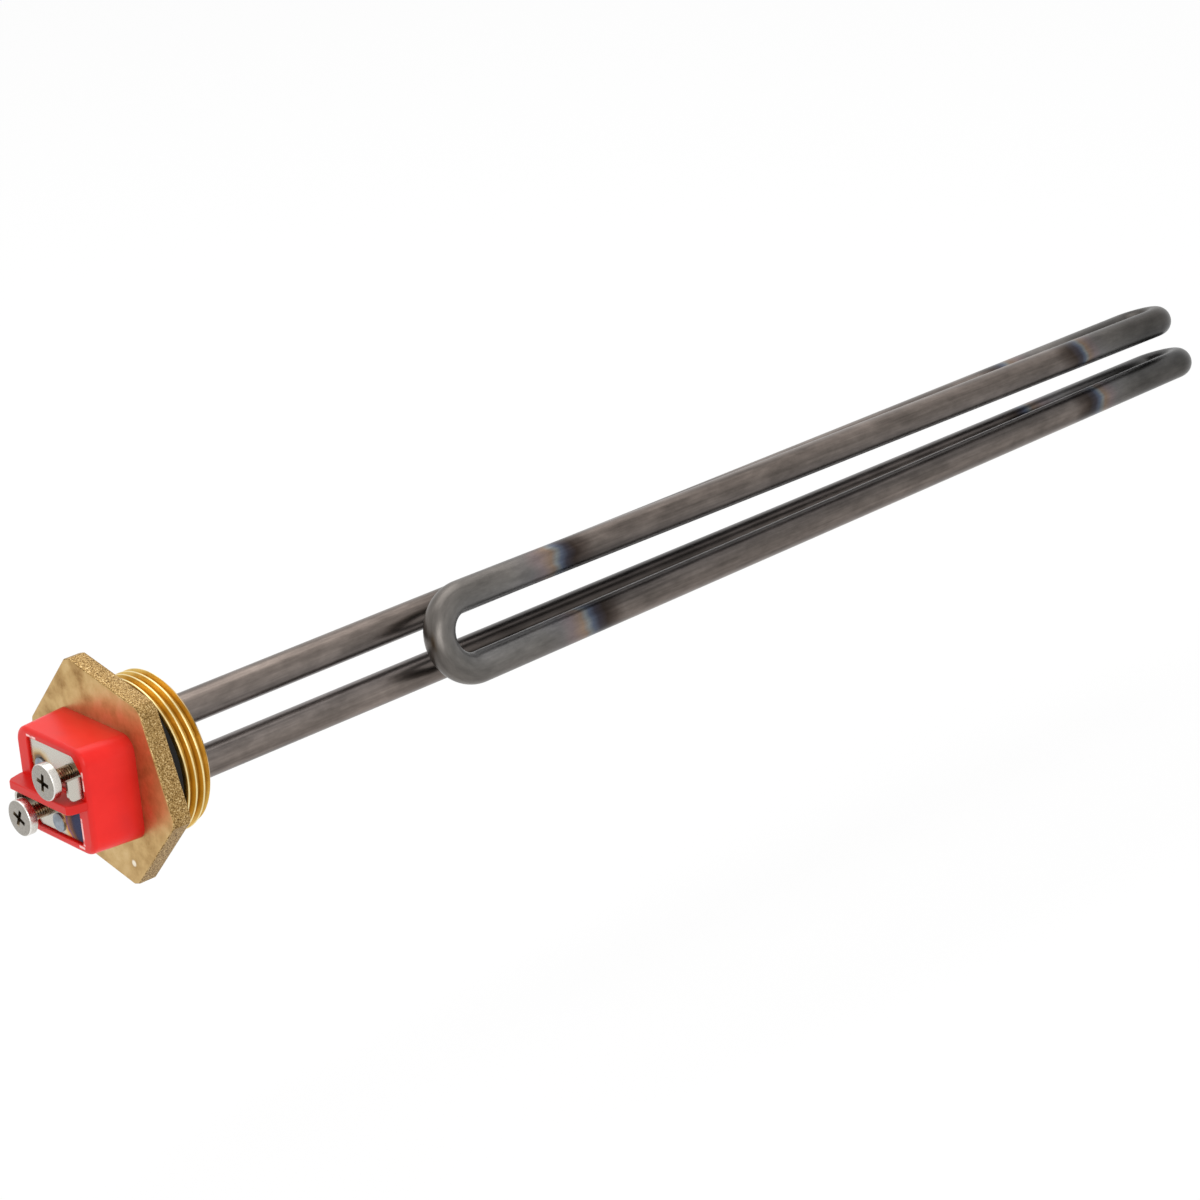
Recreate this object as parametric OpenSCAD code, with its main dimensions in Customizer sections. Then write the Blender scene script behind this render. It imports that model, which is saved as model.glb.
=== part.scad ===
// Screw plug immersion heater. Sizes in millimetres.
// The X axis is the plug axis: X = 0 is the face of the gasket that seals on the tank,
// +X runs along the heating element into the tank, and -X runs out to the terminals.
// +Z is the top of the terminal block.

/* [Screw plug] */
// Across flats of the hexagon
hex_af = 51.5; // [50:0.5:54]
// Thickness of the hexagon
hex_t = 5.25; // [4:0.25:8]
// Diameter that the six corners are turned down to
hex_corner_d = 58.2; // [56:0.1:59]
// Turn of the hexagon and of the element about the axis, from the top of the block
hex_turn = 18.5; // [0:0.5:30]
// Outside diameter of the parallel pipe thread
thread_d = 41.9; // [40:0.1:44]
// Length of the thread
thread_len = 8.2; // [6:0.1:12]
// Lead chamfer at the end of the thread
thread_lead = 1.0; // [0.4:0.1:1.5]
// Diameter of the plain neck that carries the gasket
neck_d = 36; // [34:0.5:38]

/* [Gasket] */
// Thickness of the gasket
gasket_t = 4.6; // [3:0.1:6]
// Width of the gasket ring on radius
gasket_w = 2.65; // [2:0.05:2.85]
// Clearance between the gasket and the neck on radius
gasket_gap = 0.05; // [0.02:0.01:0.3]

/* [Heating element] */
// Outside diameter of the sheath
tube_d = 8.5; // [8:0.1:9]
// Wall of the sheath
tube_wall = 0.8; // [0.6:0.05:1]
// Spacing of the two legs that pass through the plug
leg_pitch = 14.3; // [13:0.1:16]
// Offset of the legs from the axis, away from the folded loop
leg_set = 3.6; // [3:0.1:5]
// Spacing between the legs and the loop that is folded back beside them
fold_pitch = 13.7; // [13:0.1:15]
// Drop of the whole bundle below the axis
bundle_drop = 1.0; // [0:0.1:1.5]
// Reach of the upper far bend beyond the sealing face, to its centre
far_x = 378; // [250:0.1:450]
// How much farther the lower far bend reaches
far_step = 4; // [0:0.5:8]
// Reach of the near bend beyond the sealing face, to its centre
near_x = 100.6; // [60:0.1:150]
// Spacing of the two runs at the near bend
near_pitch = 19.2; // [18:0.1:21]
// How far the sheath stands out of the front of the plug
tube_out = 1.0; // [0.5:0.1:1.5]
// Clearance between the sheath and its hole in the plug on radius
tube_gap = 0.05; // [0.02:0.01:0.1]
// Leg of the braze fillet on the tank side of the plug
braze_leg = 1.6; // [1:0.1:2]
// Diameter of the winding and of the cold pins
core_d = 3.0; // [2.4:0.1:3.4]
// Clearance between the filling and what it surrounds on radius
fill_gap = 0.05; // [0.02:0.01:0.1]
// Length of each cold pin inside the tank, from the sealing face
cold_len = 55; // [30:1:80]
// Length of the end seal in each sheath end
seal_len = 8; // [5:0.5:12]
// Length of the bush spigot inside the sheath
bush_in = 3; // [2:0.1:4]
// Thickness of the bush flange
bush_flange = 1.2; // [0.8:0.1:1.5]

/* [Terminal block] */
// Depth of the block from the plug to its front rim
block_depth = 13.75; // [13.5:0.05:16]
// Width of the block at the plug
block_w_base = 32; // [31:0.5:34]
// Width of the block at the front
block_w_front = 28.4; // [28.2:0.2:30]
// Height of the block
block_h = 28; // [27.6:0.2:30]
// Corner radius of the block
block_r = 4.2; // [3:0.1:5]
// Break of the front edges
block_edge = 0.8; // [0.4:0.1:1]
// Thickness of the barrier between the terminals
barrier_t = 2.4; // [2.2:0.1:3.2]
// How far the barrier stands out of the front rim
barrier_out = 5; // [4:0.1:6]
// Half width of the barrier at its front
barrier_half = 12.8; // [10:0.1:13.2]
// Half width of the barrier at its root
barrier_root = 13.6; // [13:0.1:14]

/* [Terminals] */
// Thickness of the terminal plates
plate_t = 0.9; // [0.7:0.05:1]
// Depth of the plate face below the front rim
plate_recess = 0.7; // [0.4:0.05:1]
// Edge of the plate farthest from the barrier
plate_top = 11.5; // [11.3:0.1:11.6]
// Edge of the plate next to the barrier
plate_bottom = 1.9; // [1.8:0.05:2.2]
// Plain end of the plate, across from the ear
plate_end = 9.2; // [8.6:0.1:9.6]
// Outer face of the ear, measured from the middle
ear_out = 12.3; // [12.2:0.05:12.5]
// Length of the ear along the barrier direction
ear_len = 5.6; // [4.5:0.1:5.8]
// How far the ear stands out of the plate
ear_rise = 4.5; // [3:0.1:4.6]
// Radius of the free corner of the ear
ear_r = 1.6; // [0.8:0.1:2]
// Clearance between each plate and its pocket
pocket_gap = 0.3; // [0.2:0.05:0.4]
// Diameter of the screw shank
screw_d = 4; // [3.6:0.1:4.2]
// Running clearance of the shank in the plate on radius
screw_gap = 0.05; // [0.02:0.01:0.1]
// Length of the collar behind the plate
collar_len = 1.2; // [0.8:0.1:1.4]
// Wall of the collar
collar_wall = 1.1; // [0.8:0.05:1.2]
// Diameter of the screw head
head_d = 9.4; // [8.8:0.1:9.5]
// Thickness of the screw head
head_t = 2.4; // [2:0.1:2.8]
// Break of the head edge
head_edge = 0.35; // [0.2:0.05:0.5]
// Distance of each screw from the middle along the barrier
screw_y = 6.5; // [6.2:0.05:6.6]
// Distance of each screw from the barrier plane
screw_z = 6.7; // [6.6:0.05:6.8]
// Gap under the screw head for the wire
wire_gap = 5.3; // [4.6:0.1:5.5]
// Length of the shank under the head
shank_len = 7.9; // [7.7:0.1:8.2]
// Depth of the cross recess
cross_depth = 1.4; // [1:0.1:1.6]
// Span of the cross recess
cross_span = 5; // [4:0.1:5.6]
// Width of the cross recess
cross_w = 1.1; // [0.8:0.05:1.3]
// Radius of the weld button on the plate
weld_r = 2.4; // [2:0.1:2.5]
// Height of the weld button
weld_h = 0.35; // [0.2:0.05:0.5]

/* [Hidden] */
$fn = 64;
tube_r = tube_d / 2;
bore_r = tube_r - tube_wall;
core_r = core_d / 2;
x_hex_back = -gasket_t;
x_hex_front = x_hex_back - hex_t;
x_rim = x_hex_front - block_depth;
x_plate = x_rim + plate_recess;
x_plate_back = x_plate + plate_t;
x_collar = x_plate_back + collar_len;
x_tube_end = x_hex_front - tube_out;
x_bush = x_tube_end - bush_flange;
x_under_head = x_plate - wire_gap;
x_screw_tip = x_under_head + shank_len;
x_seal = x_tube_end + bush_in;
loop_set = fold_pitch - leg_set;
leg_z = leg_pitch / 2;
near_r = near_pitch / 2;
fold_r = fold_pitch / 2;
// Angle at which the two runs spread apart towards the near bend
spread = asin((near_r - leg_z) / (far_x - near_x));
sides = 20;
bend_steps = 14;
collar_r = screw_d / 2 + screw_gap + collar_wall;
shoulder_y = 3;
shoulder_z = 4;

// Bar or tube along +X from x0 to x1
module bar(x0, x1, ro, ri = 0) {
    translate([x0, 0, 0])
        rotate([0, 90, 0])
            linear_extrude(x1 - x0)
                ring(ro, ri);
}

// Round section, open in the middle when ri is given
module ring(ro, ri = 0) {
    difference() {
        circle(r = ro);
        if (ri > 0) circle(r = ri);
    }
}

// Frame of the element: local Z is the corner direction of the hexagon
module bundle() {
    rotate([-hex_turn, 0, 0])
        translate([0, 0, -bundle_drop])
            children();
}

// Places a piece on the axis of the upper or the lower leg
module on_leg(side) {
    bundle()
        translate([0, leg_set, side * leg_z])
            children();
}

// Station on a leg at x: centre, then the two directions that span the round section
function leg_station(x, side) =
    [[x, leg_set, side * leg_z], [0, 0, side], [0, -1, 0]];

// Station at angle a of a far bend, counted from its leg
function far_station(far, side, a) =
    [[far + fold_r * sin(a), leg_set - fold_r * (1 - cos(a)), side * leg_z],
     [0, 0, side], [-sin(a), -cos(a), 0]];

// Station at angle a of the near bend
function near_station(a) =
    [[near_x + near_r * cos(a), -loop_set, near_r * sin(a)], [cos(a), 0, sin(a)], [0, 1, 0]];

// Stations along the whole element, from x0 on the upper leg to x0 on the lower leg
function stations(x0) = concat(
    [leg_station(x0, 1)],
    [for (i = [0:bend_steps]) far_station(far_x, 1, 180 * i / bend_steps)],
    [for (i = [0:bend_steps]) near_station(90 - spread + (180 + 2 * spread) * i / bend_steps)],
    [for (i = [bend_steps:-1:0]) far_station(far_x + far_step, -1, 180 * i / bend_steps)],
    [leg_station(x0, -1)]);

// Points of the round section of radius r at every station
function skin(st, r) = [
    for (s = st, i = [0:sides - 1])
        s[0] + r * cos(360 * i / sides) * s[1] + r * sin(360 * i / sides) * s[2]
];

// Faces between the stations, facing out or in
function wall(first, count, out) = [
    for (k = [0:count - 2], i = [0:sides - 1])
        let (j = (i + 1) % sides)
        let (a = first + k * sides)
        let (b = a + sides)
        out ? [a + i, b + i, b + j, a + j] : [a + i, a + j, b + j, b + i]
];

// Flat ring that closes one end of a hollow skin
function end_ring(o, n, front) = [
    for (i = [0:sides - 1])
        let (j = (i + 1) % sides)
        front ? [o + i, o + j, n + j, n + i] : [o + i, n + i, n + j, o + j]
];

// Everything that follows the centre line of the element, from x0 on both legs
module along_element(x0, ro, ri = 0) {
    st = stations(x0);
    count = len(st);
    total = count * sides;
    last = total - sides;
    bundle()
        if (ri > 0) {
            polyhedron(concat(skin(st, ro), skin(st, ri)),
                concat(wall(0, count, true), wall(total, count, false),
                    end_ring(0, total, true), end_ring(last, total + last, false)),
                convexity = 8);
        } else {
            polyhedron(skin(st, ro),
                concat(wall(0, count, true), [[for (i = [0:sides - 1]) i]],
                    [[for (i = [sides - 1:-1:0]) last + i]]),
                convexity = 8);
        }
}

// Turns a piece of the upper terminal half round to the lower one
module half_turn(side) {
    rotate([side > 0 ? 0 : 180, 0, 0])
        children();
}

// Outline of a plate in the plane across the axis, grown by gap
module plate_outline(gap) {
    polygon([
        [plate_end + gap, plate_bottom - gap],
        [plate_end + gap, plate_top + gap],
        [-ear_out + shoulder_y - gap / 2, plate_top + gap],
        [-ear_out - gap, plate_top - shoulder_z + gap / 2],
        [-ear_out - gap, plate_bottom - gap]
    ]);
}

// Extrudes an outline given in Y and Z along +X from x0 to x1
module plate_solid(x0, x1) {
    translate([x0, 0, 0])
        rotate([90, 0, 90])
            linear_extrude(x1 - x0)
                children();
}

// Ear that is bent forward at the end of a plate
module ear() {
    translate([x_plate, -ear_out, plate_bottom])
        rotate([90, 0, 180])
            linear_extrude(plate_t)
                difference() {
                    square([ear_rise, ear_len]);
                    translate([ear_rise - ear_r, 0])
                        difference() {
                            square([ear_r, ear_r]);
                            translate([0, ear_r]) circle(r = ear_r);
                        }
                }
}

// Rounded slab of the block at x, w wide and h high
module block_slab(x, w, h, r) {
    translate([x, 0, 0])
        rotate([90, 0, 90])
            linear_extrude(0.02)
                hull()
                    for (sy = [-1, 1], sz = [-1, 1])
                        translate([sy * (w / 2 - r), sz * (h / 2 - r)])
                            circle(r = r, $fn = 32);
}

module screw_plug() {
    color([0.78, 0.64, 0.38])
    difference() {
        union() {
            intersection() {
                translate([x_hex_front, 0, 0])
                    rotate([-hex_turn, 0, 0])
                        rotate([0, 90, 0])
                            cylinder(d = hex_af / cos(30), h = hex_t, $fn = 6);
                bar(x_hex_front - 1, x_hex_back + 1, hex_corner_d / 2);
            }
            bar(x_hex_back - 0.5, thread_len - thread_lead, neck_d / 2);
            bar(0, thread_len - thread_lead, thread_d / 2);
            translate([thread_len - thread_lead, 0, 0])
                rotate([0, 90, 0])
                    cylinder(r1 = thread_d / 2, r2 = thread_d / 2 - thread_lead, h = thread_lead);
        }
        for (side = [-1, 1])
            on_leg(side) bar(x_hex_front - 1, thread_len + 1, tube_r + tube_gap);
    }
}

module gasket() {
    color([0.09, 0.09, 0.09])
    bar(x_hex_back, 0, neck_d / 2 + gasket_gap + gasket_w, neck_d / 2 + gasket_gap);
}

module terminal_block() {
    color([0.85, 0.12, 0.1])
    difference() {
        union() {
            hull() {
                block_slab(x_hex_front - 0.02, block_w_base, block_h, block_r);
                block_slab(x_rim + block_edge, block_w_front, block_h, block_r);
                block_slab(x_rim, block_w_front - 2 * block_edge, block_h - 2 * block_edge, block_r);
            }
            translate([0, 0, -barrier_t / 2])
                linear_extrude(barrier_t)
                    polygon([
                        [x_rim + 1.5, -barrier_root],
                        [x_rim + 1.5, barrier_root],
                        [x_rim - 0.8, barrier_root],
                        [x_rim - barrier_out + 1, barrier_half],
                        [x_rim - barrier_out, barrier_half - 1],
                        [x_rim - barrier_out, 1 - barrier_half],
                        [x_rim - barrier_out + 1, -barrier_half],
                        [x_rim - 0.8, -barrier_root]
                    ]);
        }
        for (side = [1, -1]) {
            half_turn(side) {
                plate_solid(x_rim - 2, x_plate_back) plate_outline(pocket_gap);
                translate([0, -screw_y, screw_z]) {
                    bar(x_plate_back - 0.5, x_collar + pocket_gap, collar_r + pocket_gap);
                    bar(x_plate_back - 0.5, x_screw_tip + wire_gap + 0.5, screw_d / 2 + 0.5);
                }
            }
            on_leg(side) {
                bar(x_rim - 2, x_hex_front + 1, core_r + pocket_gap);
                bar(x_bush - 0.5, x_hex_front + 1, tube_r + pocket_gap);
            }
        }
    }
}

module terminal_plate(side) {
    difference() {
        half_turn(side) {
            difference() {
                union() {
                    plate_solid(x_plate, x_plate_back) plate_outline(0);
                    ear();
                    translate([0, -screw_y, screw_z])
                        bar(x_plate, x_collar, collar_r);
                }
                translate([0, -screw_y, screw_z])
                    bar(x_plate - 1, x_collar + 1, screw_d / 2 + screw_gap);
            }
        }
        on_leg(side) bar(x_plate - 1, x_plate_back + 1, core_r + fill_gap);
    }
}

module terminal_plate_upper() {
    color([0.76, 0.75, 0.71]) terminal_plate(1);
}

module terminal_plate_lower() {
    color([0.76, 0.75, 0.71]) terminal_plate(-1);
}

module terminal_screw() {
    translate([0, -screw_y, screw_z])
        difference() {
            union() {
                bar(x_under_head - head_t + head_edge, x_under_head, head_d / 2);
                translate([x_under_head - head_t, 0, 0])
                    rotate([0, 90, 0])
                        cylinder(r1 = head_d / 2 - head_edge, r2 = head_d / 2, h = head_edge);
                bar(x_under_head - 0.5, x_screw_tip - 0.4, screw_d / 2);
                translate([x_screw_tip - 0.4, 0, 0])
                    rotate([0, 90, 0])
                        cylinder(r1 = screw_d / 2, r2 = screw_d / 2 - 0.4, h = 0.4);
            }
            for (s = [[cross_w, cross_span], [cross_span, cross_w]])
                translate([x_under_head - head_t - 1, -s[0] / 2, -s[1] / 2])
                    cube([1 + cross_depth, s[0], s[1]]);
        }
}

module terminal_screw_upper() {
    color([0.8, 0.79, 0.76]) half_turn(1) terminal_screw();
}

module terminal_screw_lower() {
    color([0.8, 0.79, 0.76]) half_turn(-1) terminal_screw();
}

module element_sheath() {
    color([0.36, 0.34, 0.32]) along_element(x_tube_end, tube_r, bore_r);
}

module magnesia_fill() {
    color([0.93, 0.92, 0.88]) along_element(x_seal + seal_len, bore_r - fill_gap, core_r + fill_gap);
}

module resistance_coil() {
    color([0.5, 0.47, 0.44]) along_element(cold_len, core_r);
}

module cold_pin(side) {
    on_leg(side) {
        bar(x_plate - weld_h, cold_len, core_r);
        bar(x_plate - weld_h, x_plate, weld_r);
    }
}

module cold_pin_upper() {
    color([0.62, 0.6, 0.57]) cold_pin(1);
}

module cold_pin_lower() {
    color([0.62, 0.6, 0.57]) cold_pin(-1);
}

module end_seal(side) {
    on_leg(side) bar(x_seal, x_seal + seal_len, bore_r - fill_gap, core_r + fill_gap);
}

module end_seal_upper() {
    color([0.8, 0.4, 0.3]) end_seal(1);
}

module end_seal_lower() {
    color([0.8, 0.4, 0.3]) end_seal(-1);
}

module pin_bush(side) {
    on_leg(side)
        difference() {
            union() {
                bar(x_bush, x_tube_end, tube_r - 0.1);
                bar(x_bush, x_seal, bore_r - fill_gap);
            }
            bar(x_bush - 1, x_seal + 1, core_r + fill_gap);
        }
}

module pin_bush_upper() {
    color([0.95, 0.94, 0.9]) pin_bush(1);
}

module pin_bush_lower() {
    color([0.95, 0.94, 0.9]) pin_bush(-1);
}

module braze_fillet(side) {
    on_leg(side)
        translate([thread_len, 0, 0])
            rotate([0, 90, 0])
                rotate_extrude()
                    polygon([
                        [tube_r + tube_gap, 0],
                        [tube_r + braze_leg, 0],
                        [tube_r + tube_gap, braze_leg]
                    ]);
}

module braze_fillet_upper() {
    color([0.8, 0.68, 0.42]) braze_fillet(1);
}

module braze_fillet_lower() {
    color([0.8, 0.68, 0.42]) braze_fillet(-1);
}

screw_plug();
gasket();
terminal_block();
terminal_plate_upper();
terminal_plate_lower();
terminal_screw_upper();
terminal_screw_lower();
element_sheath();
magnesia_fill();
resistance_coil();
cold_pin_upper();
cold_pin_lower();
end_seal_upper();
end_seal_lower();
pin_bush_upper();
pin_bush_lower();
braze_fillet_upper();
braze_fillet_lower();
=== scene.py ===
import math
import bpy
import bmesh
from mathutils import Matrix, Vector


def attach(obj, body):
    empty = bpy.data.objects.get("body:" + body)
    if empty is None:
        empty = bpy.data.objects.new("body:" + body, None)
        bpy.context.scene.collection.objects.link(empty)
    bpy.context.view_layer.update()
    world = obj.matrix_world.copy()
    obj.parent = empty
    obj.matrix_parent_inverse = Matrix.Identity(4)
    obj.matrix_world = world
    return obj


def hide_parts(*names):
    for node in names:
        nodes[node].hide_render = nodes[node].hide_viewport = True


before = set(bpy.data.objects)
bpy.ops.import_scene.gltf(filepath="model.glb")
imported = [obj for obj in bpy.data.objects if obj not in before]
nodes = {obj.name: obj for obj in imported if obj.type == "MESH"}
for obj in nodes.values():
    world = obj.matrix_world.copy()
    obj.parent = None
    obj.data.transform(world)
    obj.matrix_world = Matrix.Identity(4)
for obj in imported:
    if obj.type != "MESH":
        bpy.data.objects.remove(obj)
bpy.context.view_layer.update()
mm = 0.001
print("frame loaded:", len(nodes), "solids")

# Camera, solved from the hexagon, the thread and the four tube runs
cameraSetup = {
    "place": (-0.45609, -0.70650, 0.37602),
    "right": (0.73473, -0.67452, -0.07213),
    "up": (0.30779, 0.23673, 0.92153),
    "lens": 111.71, "sensor": 36.0, "near": 0.01, "far": 30.0,
}
cameraData = bpy.data.cameras.new("photoCamera")
cameraData.sensor_width = cameraSetup["sensor"]
cameraData.lens = cameraSetup["lens"]
cameraData.clip_start = cameraSetup["near"]
cameraData.clip_end = cameraSetup["far"]
camera = bpy.data.objects.new("photoCamera", cameraData)
bpy.context.collection.objects.link(camera)
camRight = Vector(cameraSetup["right"]).normalized()
camBack = camRight.cross(Vector(cameraSetup["up"])).normalized()
camUp = camBack.cross(camRight)
camTurn = Matrix((camRight, camUp, camBack)).transposed().to_4x4()
camera.matrix_world = Matrix.Translation(cameraSetup["place"]) @ camTurn
bpy.context.scene.camera = camera
print("camera placed")


def toLinear(text):
    channels = [int(text[i:i + 2], 16) / 255 for i in (1, 3, 5)]
    linear = [c / 12.92 if c <= 0.04045 else ((c + 0.055) / 1.055) ** 2.4 for c in channels]
    return (*linear, 1.0)


def addNode(tree, kind, inputs=None, stops=None, **settings):
    node = tree.nodes.new(kind)
    for name, value in settings.items():
        setattr(node, name, value)
    for key, value in (inputs or {}).items():
        if isinstance(value, bpy.types.NodeSocket):
            tree.links.new(value, node.inputs[key])
        else:
            node.inputs[key].default_value = value
    if stops:
        marks = node.color_ramp.elements
        while len(marks) < len(stops):
            marks.new(0.5)
        for mark, (place, colour) in zip(marks, stops):
            mark.position = place
            mark.color = toLinear(colour) if isinstance(colour, str) else (colour, colour, colour, 1.0)
    return node


def startMaterial(name, **shaderInputs):
    material = bpy.data.materials.new(name)
    material.use_nodes = True
    tree = material.node_tree
    tree.nodes.clear()
    inputs = {key.replace("_", " "): value for key, value in shaderInputs.items()}
    shader = addNode(tree, "ShaderNodeBsdfPrincipled", inputs)
    addNode(tree, "ShaderNodeOutputMaterial", {"Surface": shader.outputs[0]})
    return material, tree, shader


def connect(tree, shader, **outputs):
    for key, output in outputs.items():
        tree.links.new(output, shader.inputs[key.replace("_", " ")])


# The functions from here to bumpOf add nodes for what every finish needs and give back an output
def objectPlace(tree):
    return addNode(tree, "ShaderNodeTexCoord").outputs["Object"]


def splitAxes(tree, vector):
    return addNode(tree, "ShaderNodeSeparateXYZ", {0: vector}).outputs


# A noise of grain g mm repeats about once every g mm at scale 1000 / g in metres
def perMm(grain):
    return 1000.0 / grain


def noiseOf(tree, place, grain, detail, roughness=0.5):
    inputs = {"Vector": place, "Scale": perMm(grain), "Detail": detail, "Roughness": roughness}
    return addNode(tree, "ShaderNodeTexNoise", inputs).outputs[0]


def remap(tree, value, low, high, toLow=0.0, toHigh=1.0):
    inputs = {"Value": value, "From Min": low, "From Max": high, "To Min": toLow, "To Max": toHigh}
    return addNode(tree, "ShaderNodeMapRange", inputs).outputs[0]


# Most of a noise lies between 0.3 and 0.7
def fromNoise(tree, noise, toLow, toHigh):
    return remap(tree, noise, 0.3, 0.7, toLow, toHigh)


def rampOf(tree, value, stops):
    return addNode(tree, "ShaderNodeValToRGB", {"Fac": value}, stops=stops).outputs[0]


def calc(tree, operation, *values):
    return addNode(tree, "ShaderNodeMath", dict(enumerate(values)), operation=operation).outputs[0]


def scaleTone(tree, tone, factor):
    inputs = {0: tone, "Scale": factor}
    return addNode(tree, "ShaderNodeVectorMath", inputs, operation="SCALE").outputs[0]


def multiplyVectors(tree, first, second):
    return addNode(tree, "ShaderNodeVectorMath", {0: first, 1: second}, operation="MULTIPLY").outputs[0]


def distanceTo(tree, place, spot):
    inputs = {0: place, 1: tuple(c * mm for c in spot)}
    return addNode(tree, "ShaderNodeVectorMath", inputs, operation="DISTANCE").outputs["Value"]


# Distance from a line along X, which crosses the YZ plane at the centre
def axisDistance(tree, place, centre=(0.0, 0.0)):
    axes = splitAxes(tree, place)
    flat = addNode(tree, "ShaderNodeCombineXYZ", {1: axes[1], 2: axes[2]})
    return distanceTo(tree, flat.outputs[0], (0.0, *centre))


def mixTone(tree, share, first, second):
    return addNode(tree, "ShaderNodeMix", {0: share, 6: first, 7: second}, data_type="RGBA").outputs[2]


def bumpOf(tree, height, strength, depth, under=None):
    inputs = {"Height": height, "Strength": strength, "Distance": depth * mm}
    if under:
        inputs["Normal"] = under
    return addNode(tree, "ShaderNodeBump", inputs).outputs[0]


# Plain finishes, most of them inside: blued pin steel, painted shade for the driver recess, run braze,
# packed magnesia, wire, silicone, fired ceramic. Each has a dark and a light tone, its share of metal,
# its roughness and its grain in mm.
plainFinishes = {
    "bluedPinSteel": ("#7b8590", "#a2aab2", 1.0, 0.3, 1.6),
    "shadedRecess": ("#6f6456", "#978b7a", 1.0, 0.3, 0.8),
    "runBraze": ("#9b7740", "#cba55c", 1.0, 0.38, 1.2),
    "packedMagnesia": ("#d9d6cc", "#efede6", 0.0, 0.9, 0.5),
    "drawnHeatingWire": ("#5f5a55", "#8a837c", 1.0, 0.45, 0.8),
    "castSilicone": ("#a5482f", "#bd5a3e", 0.0, 0.55, 2.0),
    "firedCeramic": ("#dedad0", "#f0ede4", 0.0, 0.4, 1.5),
}
finishes = {}
for name, (dark, light, metallic, roughness, grain) in plainFinishes.items():
    finishes[name], tree, shader = startMaterial(name, Metallic=metallic)
    mottle = noiseOf(tree, objectPlace(tree), grain, 4.0)
    tone = rampOf(tree, mottle, [(0.3, dark), (0.7, light)])
    rough = remap(tree, mottle, 0.0, 1.0, roughness + 0.1, roughness - 0.1)
    bump = bumpOf(tree, mottle, 0.2, 0.1)
    connect(tree, shader, Base_Color=tone, Roughness=rough, Normal=bump)
print("plain finishes ready")


def smoothPiece(piece, angle):
    for polygon in piece.data.polygons:
        polygon.use_smooth = True
    piece.data.set_sharp_from_angle(angle=math.radians(angle))


# Makes a mesh piece from points in mm
def addPiece(name, points, faces, materials, smoothAngle=40):
    mesh = bpy.data.meshes.new(name)
    mesh.from_pydata([Vector(p) * mm for p in points], [], faces)
    shell = bmesh.new()
    shell.from_mesh(mesh)
    bmesh.ops.recalc_face_normals(shell, faces=shell.faces)
    shell.to_mesh(mesh)
    shell.free()
    piece = bpy.data.objects.new(name, mesh)
    bpy.context.collection.objects.link(piece)
    for material in materials:
        mesh.materials.append(material)
    smoothPiece(piece, smoothAngle)
    return piece


# Adds a tool shape to a piece or cuts it out, and keeps the mesh that results
def shapePiece(piece, operation, points, faces):
    tool = addPiece("shapingTool", points, faces, [])
    shaping = piece.modifiers.new("shaping", "BOOLEAN")
    shaping.operation = operation
    shaping.solver = "EXACT"
    shaping.object = tool
    graph = bpy.context.evaluated_depsgraph_get()
    made = bpy.data.meshes.new_from_object(piece.evaluated_get(graph))
    piece.modifiers.clear()
    piece.data = made
    bpy.data.objects.remove(tool)


# Skins a list of equal rings of points; ends are closed with flat caps
def skinRings(rings, caps=True):
    count = len(rings[0])
    points = [p for ring in rings for p in ring]
    faces = []
    for k in range(len(rings) - 1):
        for i in range(count):
            j = (i + 1) % count
            faces.append((k * count + i, k * count + j, (k + 1) * count + j, (k + 1) * count + i))
    if caps:
        faces.append(tuple(range(count - 1, -1, -1)))
        faces.append(tuple((len(rings) - 1) * count + i for i in range(count)))
    return points, faces


def turnedRings(profile, segments, centreY=0.0, centreZ=0.0):
    angles = [2 * math.pi * i / segments for i in range(segments)]
    return [[(x, centreY + r * math.cos(a), centreZ + r * math.sin(a)) for a in angles] for x, r in profile]


# A rounded edge of radius r, at angles in degrees: how far each point lies behind the front
# and how far inside the side
def roundedEdge(r, angles):
    return [(r - r * math.sin(math.radians(d)), r - r * math.cos(math.radians(d))) for d in angles]


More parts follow.
